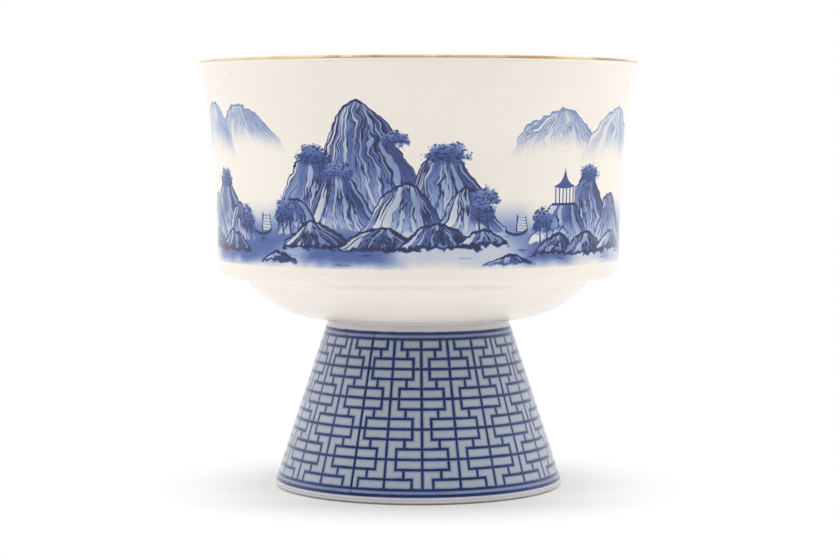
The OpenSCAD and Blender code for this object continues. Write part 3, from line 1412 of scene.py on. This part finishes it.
@dataclass
class LandscapeBand:
    """The blue landscape round the bowl's wall, painted in like sheets, each of several panels.

    Hills are painted in their order here, those behind first.
    """

    profile: CupProfile
    kiln: Kiln
    brush: WaterBrush = field(default_factory=WaterBrush)
    film_t: float = 0.03
    feather: float = 2.0
    drop: float = 6.0
    sheets: int = 2
    panels: int = 5
    pavilions: tuple[Sketch, ...] = (Sketch(30.7, 13.2, 3.4),)
    boats: tuple[Sketch, ...] = (Sketch(-33.6, 7.0, 2.6), Sketch(19.2, 7.2, 2.4))
    hills: tuple[Hill, ...] = (
        far_hill(30, 22.5, 9.0, 13, 0.1), far_hill(46, 21.0, 11.0, 13, -0.1),
        far_hill(-38, 23.5, 9.0, 12, 0.1), far_hill(-51, 22.0, 11.0, 10, -0.1),
        Hill(-9, 11.0, 22.0, 12.5, 0.22), Hill(-21, 10.0, 14.0, 9, -0.1), Hill(6, 10.0, 14.5, 9.5, 0.15),
        Hill(-15, 8.5, 11.5, 8, 0.1), Hill(-3, 8.0, 9.5, 8, -0.1), Hill(10, 8.0, 8.5, 7.0, 0.1),
        Hill(-24, 7.5, 7.0, 5.5, 0.1),
        rock(-20, 4.8, 5.4, 8, 0.1), rock(-8, 4.4, 4.6, 9, -0.1), rock(4, 4.8, 5.0, 8, 0.1),
        rock(12.5, 5.4, 3.4, 5.5),
        Hill(39, 6.5, 13.5, 9, 0.2), Hill(30, 6.0, 9.5, 8, -0.1), Hill(48, 6.0, 9.0, 8, 0.1),
        rock(29, 3.6, 4.0, 6), rock(38, 3.2, 4.6, 7.5, 0.1), rock(48, 3.8, 4.0, 7),
        Hill(-47, 6.5, 12.5, 8.5, 0.1), Hill(-55, 6.0, 9.0, 7, -0.1), Hill(-41, 6.0, 7.5, 5.5, 0.1),
        rock(-44, 3.6, 4.4, 7.5), rock(-54, 3.8, 4.0, 7),
        rock(-29, 2.0, 2.2, 5), rock(18, 1.8, 2.0, 5.5),
    )
    groves: tuple[Grove, ...] = (
        Grove(-20.6, 22.2, 2.8, 4.4), Grove(-15.6, 19.2, 2.4, 3.8, 0.9), Grove(-4.4, 25.4, 2.2, 3.2, 0.95),
        Grove(5.4, 22.6, 2.8, 4.8), Grove(12.6, 14.6, 2.4, 3.4, 0.9),
        tree(12.2, 11.8, 3.6, 3.0), tree(-27.2, 11.5, 3.8, 3.2), tree(25.2, 9.6, 3.6, 2.8),
        tree(-38.4, 9.8, 3.6, 2.8), Grove(38.2, 18.6, 2.6, 3.8), Grove(-47.4, 17.6, 2.6, 3.8),
    )

    def outline(self) -> list[Point]:
        """Gives the film's closed outline, which sinks into the wall at its top and bottom.

        Returns:
            The points, up the outside and down inside the wall.
        """
        high = self.profile.cup_h - self.drop
        points = [p for p in self.profile.outer_wall() if p[1] <= high]
        low, top = points[0][1], points[-1][1]
        outer = []
        for r, z in points:
            edge = min(z - low, top - z) / self.feather
            outer.append((r + self.film_t * (2 * min(edge, 1.0) - 1), z))
        return [*outer, *[(r - 2 * self.film_t, z) for r, z in reversed(points)]]

    def build(self) -> bpy.types.Object:
        """Makes the film in place of its solid.

        Returns:
            The film.
        """
        piece = lathe("landscape_colour", self.outline(), closed=True)
        sheet_w = math.tau * self.profile.wall_r / self.sheets
        panel_w = sheet_w / self.panels
        for panel in range(self.panels):
            piece.data.materials.append(self.paint(panel, panel_w * panel - sheet_w / 2, panel_w))
        steps = TURN_STEPS // (self.sheets * self.panels)
        half_sheet = TURN_STEPS // (2 * self.sheets)
        for face in piece.data.polygons:
            face.material_index = (face.index % TURN_STEPS + half_sheet) // steps % self.panels
        return seat(piece, "landscape_band")

    def paint(self, panel: int, start: float, width: float) -> bpy.types.Material:
        """Makes the painted material of one panel, with the things that reach into it.

        Args:
            panel: number of the panel, from the left edge of the sheet.
            start: left edge of the panel along the wall, in millimetres.
            width: width of the panel, in millimetres.

        Returns:
            The material.
        """
        def reaches(thing: Hill | Grove | Sketch) -> bool:
            """Tells whether a thing reaches into the panel."""
            return start - 2 * thing.half < thing.centre < start + width + 2 * thing.half

        kiln, brush = self.kiln, self.brush
        material, bench, shader = start_material(f"landscape_cobalt_{panel}")
        place = bench.use(kiln.place)
        half_sheet = FULL_TURN / 2 / self.sheets
        sheet = bench.math("WRAP", place.outputs["Angle"], half_sheet, -half_sheet)
        along = bench.times(sheet, math.radians(self.profile.wall_r))
        up = bench.minus(place.outputs["Height"], self.profile.corner[1] + self.profile.waist_run)
        spot = bench.vector(along, up)
        wobble = bench.waver(spot, brush.wobble_scale)
        edge = bench.waver(spot, brush.edge_scale, brush.edge_detail)
        leaf_place = bench.vector(
            bench.times(along, brush.leaf_scale[0]), bench.times(up, brush.leaf_scale[1]))
        leaf = bench.cells(leaf_place, 1.0).outputs["Distance"]
        tone = self.water(bench, along, up, spot)
        for i, hill in enumerate(self.hills):
            if reaches(hill):
                tone = bench.use(
                    kiln.hill, Under=tone, Along=along, Up=up, Wobble=wobble, Edge=edge,
                    Centre=hill.centre, Foot=hill.foot, Rise=hill.rise, Half=hill.half, Lean=hill.lean,
                    Seed=brush.seed_step * i, Strength=hill.strength, Mist=hill.mist).outputs[0]
        for grove in filter(reaches, self.groves):
            tone = bench.use(
                kiln.grove, Under=tone, Along=along, Up=up, Leaf=leaf, Edge=edge,
                Centre=grove.centre, Foot=grove.foot, Rise=grove.rise, Half=grove.half,
                Strength=grove.strength, Trunk=grove.trunk).outputs[0]
        for sketch in filter(reaches, self.pavilions):
            tone = bench.use(
                kiln.pavilion, Under=tone, Along=along, Up=up, Centre=sketch.centre, Floor=sketch.foot,
                Size=sketch.half).outputs[0]
        for sketch in filter(reaches, self.boats):
            tone = bench.use(
                kiln.boat, Under=tone, Along=along, Up=up, Centre=sketch.centre, Line=sketch.foot,
                Size=sketch.half).outputs[0]
        torn = bench.add(up, bench.times(wobble, brush.low_wobble), bench.times(edge, brush.low_break))
        low_edge = bench.ease(torn, *brush.low_edge)
        tone = bench.times(tone, low_edge, bench.ease(up, *brush.film_edge))
        stained = bench.use(kiln.cobalt, Body=kiln.glaze.bowl, Tone=tone)
        kiln.glazed(bench, shader, stained.outputs[0])
        return material

    def water(self, bench: Bench, along: Socket, up: Socket, spot: Socket) -> Socket:
        """Paints the water's wash and ripples.

        Args:
            bench: bench of the material.
            along: place along the wall, in millimetres.
            up: height on the wall, in millimetres.
            spot: both of them, as a vector.

        Returns:
            The tone.
        """
        brush = self.brush
        dash_place = bench.vector(bench.times(along, brush.dash_scale), up)
        dash = bench.ease(bench.noise(dash_place, 1.0), *brush.dash)
        cloud = bench.ease(bench.noise(spot, brush.cloud_scale, brush.cloud_detail), *brush.cloud)
        shore = bench.fade(up, *brush.shore)
        wash = bench.times(shore, bench.add(brush.wash_tone, bench.times(cloud, brush.cloud_tone)))
        return bench.add(wash, bench.times(dash, shore, brush.dash_tone))


@dataclass
class LatticeBand:
    """The blue lattice round the stem, printed in two sheets that meet at seams.

    Heights and widths are in millimetres, and steps, lines and seams round the stem in degrees.
    """

    profile: CupProfile
    kiln: Kiln
    finish: LatticeFinish = field(default_factory=LatticeFinish)
    film_t: float = 0.03
    film_edge: float = 0.4
    side_steps: int = 20
    low: float = 2.9
    drop: float = 2.45
    gaps: int = 5
    border_w: float = 1.14
    border_edge: float = 0.2
    outer_gain: float = 0.05
    box_half_h: float = 1.95
    box_half_w: float = 0.72
    line_w: float = 0.44
    soft: float = 0.15
    shake: float = 0.16
    height_shake: float = 0.6
    step: float = 15.25
    front_line: float = 1.65
    front_count: int = 2
    last_count: int = 12
    seam: float = -27.2
    no_line: float = 9.0

    def build(self) -> bpy.types.Object:
        """Makes the film in place of its solid.

        Returns:
            The film.
        """
        def point(height: float, off: float) -> Point:
            """Gives the point at a height and a distance off the stem."""
            return (self.profile.cone_r(height) + off, height)

        margin = self.border_w + 2 * self.line_w
        low = self.low - margin
        high = self.profile.stem_h - self.drop + margin
        side_low = point(low + self.film_edge, self.film_t)
        side_high = point(high - self.film_edge, self.film_t)
        outer = [
            point(low, -self.film_t), side_low, *straight(side_low, side_high, self.side_steps), side_high,
            point(high, -self.film_t),
        ]
        inner = [(r - 2 * self.film_t, z) for r, z in reversed(outer)]
        piece = lathe("lattice_colour", [*outer, *inner], closed=True)
        piece.data.materials.append(self.paint())
        return seat(piece, "lattice_band")

    def uprights(self, bench: Bench, angle: Socket) -> tuple[Socket, Socket]:
        """Counts the lattice's upright lines round the stem.

        Args:
            bench: bench of the material.
            angle: angle round the cup, in degrees.

        Returns:
            The count of lines at the angle, as a number that is whole on each line, and the distance to
            the nearest seam, in degrees.
        """
        end = self.seam + FULL_TURN
        other_seam = self.front_line + (self.last_count - self.front_count) * self.step
        turned = bench.math("WRAP", angle, end, self.seam)
        front = bench.add(
            float(self.front_count), bench.over(bench.minus(turned, self.front_line), self.step))
        back = bench.add(float(self.last_count), bench.over(bench.minus(turned, end), self.step))
        is_back = bench.math("GREATER_THAN", turned, other_seam)
        to_seam = bench.least(
            bench.minus(turned, self.seam), bench.minus(end, turned), bench.apart(turned, other_seam))
        return bench.mix(is_back, front, back), to_seam

    def to_line(self, bench: Bench, height: Socket, count: Socket, step_w: Socket) -> Socket:
        """Gives the distance to the nearest line of the crossed boxes.

        Args:
            bench: bench of the material.
            height: height above the foot, in millimetres.
            count: count of upright lines, whole on each line.
            step_w: space between upright lines, in millimetres.

        Returns:
            The distance, in millimetres.
        """
        high = self.profile.stem_h - self.drop
        row_h = (high - self.low) / self.gaps
        rows = bench.over(bench.minus(high, height), row_h)
        row = bench.math("ROUND", rows)
        off_row = bench.times(bench.apart(rows, row), row_h)
        along = bench.times(bench.math("PINGPONG", bench.minus(count, row), 1.0), step_w)
        to_upright = bench.least(along, bench.minus(step_w, along))
        to_side = bench.minus(along, bench.times(step_w, self.box_half_w))
        to_lid = bench.minus(off_row, self.box_half_h)
        to_box = bench.size(bench.most(to_side, to_lid))
        to_middle = bench.apart(along, bench.times(step_w, 0.5))
        to_stub = bench.most(to_middle, bench.times(to_lid, -1.0))
        return bench.least(to_upright, off_row, to_box, to_stub)

    def paint(self) -> bpy.types.Material:
        """Makes the printed material.

        Returns:
            The material.
        """
        p, finish = self.profile, self.finish
        material, bench, shader = start_material("lattice_cobalt")
        place = bench.use(self.kiln.place)
        spot = bench.spot()
        shake = bench.times(bench.waver(spot, finish.shake_scale), self.shake)
        height = bench.add(place.outputs["Height"], bench.times(shake, self.height_shake))
        count, to_seam = self.uprights(bench, place.outputs["Angle"])
        radius = bench.minus(p.foot_r, bench.times(height, p.stem_slope))
        degree = bench.times(radius, math.radians(1.0))
        to_box_line = self.to_line(bench, height, count, bench.times(degree, self.step))
        high = p.stem_h - self.drop
        field_half = (high - self.low) / 2
        print_half = field_half + self.border_w
        from_middle = bench.apart(height, (high + self.low) / 2)
        in_field = bench.math("LESS_THAN", from_middle, field_half)
        in_print = bench.fade(from_middle, print_half, print_half + self.border_edge)
        to_outer = bench.minus(bench.apart(from_middle, print_half), self.outer_gain)
        to_field_line = bench.mix(in_field, self.no_line, to_box_line)
        drawn = bench.least(to_field_line, bench.apart(from_middle, field_half), to_outer)
        half = self.line_w / 2
        line_edge = (half - self.soft, half + self.soft)
        line = bench.fade(bench.add(drawn, shake), *line_edge)
        seam_line = bench.fade(bench.times(to_seam, degree), *line_edge)
        at_seam = bench.times(seam_line, bench.mix(in_field, finish.seam_in_border, 1.0), in_print)
        halo = bench.fade(drawn, half, finish.halo_reach * half, finish.halo_tone)
        ground = bench.add(bench.mix(in_field, finish.border_tone, finish.pane_tone), halo)
        wash_noise = bench.noise(spot, finish.wash_scale)
        washed = bench.times(
            ground, in_print, bench.ease(wash_noise, *finish.noise_span, *finish.wash_levels))
        ink = bench.ease(bench.noise(spot, finish.ink_scale), *finish.noise_span, *finish.ink_levels)
        inked = bench.mix(bench.times(line, ink), washed, finish.line_tone)
        tone = bench.mix(at_seam, inked, finish.seam_tone)
        # Outside the print the body takes the stem's colour, and inside it the panes' wash. Both are darkened
        # as painted shade under the bowl.
        body = bench.tint(in_print, self.kiln.glaze.stem, finish.pane_wash_and_shade)
        stained = bench.use(self.kiln.cobalt, Body=body, Tone=tone)
        veiled = bench.tint(bench.times(line, finish.line_veil), stained.outputs[0], finish.pane_wash_and_shade)
        self.kiln.glazed(bench, shader, veiled)
        return material


@dataclass
class Studio:
    """White floor, soft light and the camera. Places and sizes are in metres."""

    floor_half: float = 6.0
    floor_rough: float = 0.9
    floor_white: Colour = srgb(249, 249, 249)
    floor_seen: Colour = srgb(205, 205, 205)
    floor_lift: float = 0.24
    shade_span: Span = (0.028, 0.058)
    # Painted shade in front of the cup: where it reaches, and how deep it is.
    front_span: Span = (-0.03, -0.016)
    painted_front_shade: float = 0.85
    camera_place: Place = (0.00034, -0.4798, 0.07306)
    camera_pitch: float = 3.69
    camera_near: float = 0.01
    lens: float = 100.0
    sensor: float = 36.0
    lamp_size: float = 0.5
    lamp_aim: Place = (0.0, 0.0, 0.05)
    side_lamp: Place = (0.55, 0.12, 0.2)
    side_power: float = 0.8
    top_lamp: Place = (0.0, 0.0, 0.9)
    top_power: float = 1.0
    sky: float = 0.1
    sky_top: float = 1.5
    sky_top_span: Span = (0.4, 0.85)
    sky_side: float = 0.45
    sky_side_span: Span = (0.35, 0.95)
    room_dark: float = 0.2
    room_span: Span = (-0.75, 0.35)

    def build(self) -> None:
        """Makes the floor, the sky, the lamps and the camera."""
        self.make_floor()
        self.make_sky()
        across, back, up = self.side_lamp
        for side in Side:
            self.make_lamp(f"lamp_{side.name.lower()}", (across * side.value, back, up), self.side_power)
        self.make_lamp("lamp_top", self.top_lamp, self.top_power)
        self.make_camera()

    def make_floor(self) -> None:
        """Makes the white floor: white away from the cup, where it is seen, and darker with painted shade in
        front.
        """
        half = self.floor_half
        corners = [(-half, -half, 0), (half, -half, 0), (half, half, 0), (-half, half, 0)]
        mesh = bpy.data.meshes.new("floor")
        mesh.from_pydata(corners, [], [(0, 1, 2, 3)])
        floor = put_in_scene("floor", mesh)
        material, bench, shader = start_material("white_floor")
        shader.inputs["Roughness"].default_value = self.floor_rough
        shader.inputs["Specular IOR Level"].default_value = 0.0
        ray = bench.put("ShaderNodeLightPath")
        seen = bench.most(ray.outputs["Is Camera Ray"], ray.outputs["Is Glossy Ray"])
        spot = bench.spot()
        away = bench.put("ShaderNodeVectorMath", operation="LENGTH")
        bench.feed(away.inputs[0], spot)
        far = bench.ease(away.outputs["Value"], *self.shade_span)
        # Painted shade: the floor is darkened in front of the foot, on top of its real shadow.
        in_front = bench.fade(bench.split(spot)[1], *self.front_span)
        shade = bench.mix(in_front, 1.0, bench.mix(far, self.painted_front_shade, 1.0))
        near_floor = bench.tint(far, self.floor_seen, BLACK)
        shaded_floor = bench.tint(1.0, near_floor, shade, mode="MULTIPLY")
        lift = bench.mix(far, self.floor_lift, 1.0)
        bench.feed(shader.inputs["Base Color"], bench.tint(seen, self.floor_white, shaded_floor))
        shader.inputs["Emission Color"].default_value = WHITE
        bench.feed(shader.inputs["Emission Strength"], bench.times(seen, shade, lift))
        mesh.materials.append(material)

    def make_sky(self) -> None:
        """Makes the white surround: white where it is seen, dim round the camera where it is mirrored.

        Its light on the cup comes mostly from above and from the sides.
        """
        world = bpy.data.worlds.new("white_surround")
        bpy.context.scene.world = world
        world.use_nodes = True
        bench = Bench(world.node_tree)
        background = world.node_tree.nodes["Background"]
        background.inputs["Color"].default_value = WHITE
        ray = bench.put("ShaderNodeLightPath")
        x, y, z = bench.split(bench.put("ShaderNodeTexCoord").outputs["Generated"])
        mirrored = bench.most(ray.outputs["Is Glossy Ray"], ray.outputs["Is Transmission Ray"])
        reflected = bench.ease(y, *self.room_span, self.room_dark, 1.0)
        overhead = bench.ease(z, *self.sky_top_span, 0.0, self.sky_top)
        aside = bench.ease(bench.size(x), *self.sky_side_span, 0.0, self.sky_side)
        unseen = bench.mix(mirrored, bench.add(self.sky, overhead, aside), reflected)
        bench.feed(background.inputs["Strength"], bench.mix(ray.outputs["Is Camera Ray"], unseen, 1.0))

    def make_lamp(self, name: str, place: Place, power: float) -> None:
        """Makes a soft lamp that faces the cup and isn't mirrored in its glaze.

        Args:
            name: name of the lamp.
            place: where it stands.
            power: its power, in watts.
        """
        light = bpy.data.lights.new(name, "AREA")
        light.size = self.lamp_size
        light.energy = power
        lamp = put_in_scene(name, light)
        lamp.location = place
        lamp.visible_glossy = False
        towards_cup = Vector(self.lamp_aim) - lamp.location
        lamp.rotation_euler = towards_cup.to_track_quat("-Z", "Y").to_euler()

    def make_camera(self) -> None:
        """Makes the camera at the photograph's place."""
        data = bpy.data.cameras.new("camera")
        data.lens = self.lens
        data.sensor_width = self.sensor
        data.clip_start = self.camera_near
        camera = put_in_scene("camera", data)
        camera.location = self.camera_place
        camera.rotation_euler = (math.radians(90 - self.camera_pitch), 0.0, 0.0)
        bpy.context.scene.camera = camera


def main() -> None:
    """Builds the studio and the cup's pieces, and reports each piece."""
    logging.basicConfig(level=logging.INFO, format="%(name)s: %(message)s")
    bpy.context.scene.view_settings.view_transform = "Standard"
    Studio().build()
    profile = CupProfile.from_frame()
    kiln = Kiln(GlazeFinish())
    makers = (Bowl, Stem, LutingRing, GiltRim, LandscapeBand, LatticeBand)
    for maker in makers:
        piece = maker(profile, kiln).build()
        LOG.info("%s: %d faces", piece.name, len(piece.data.polygons))


if __name__ == "__main__":
    main()
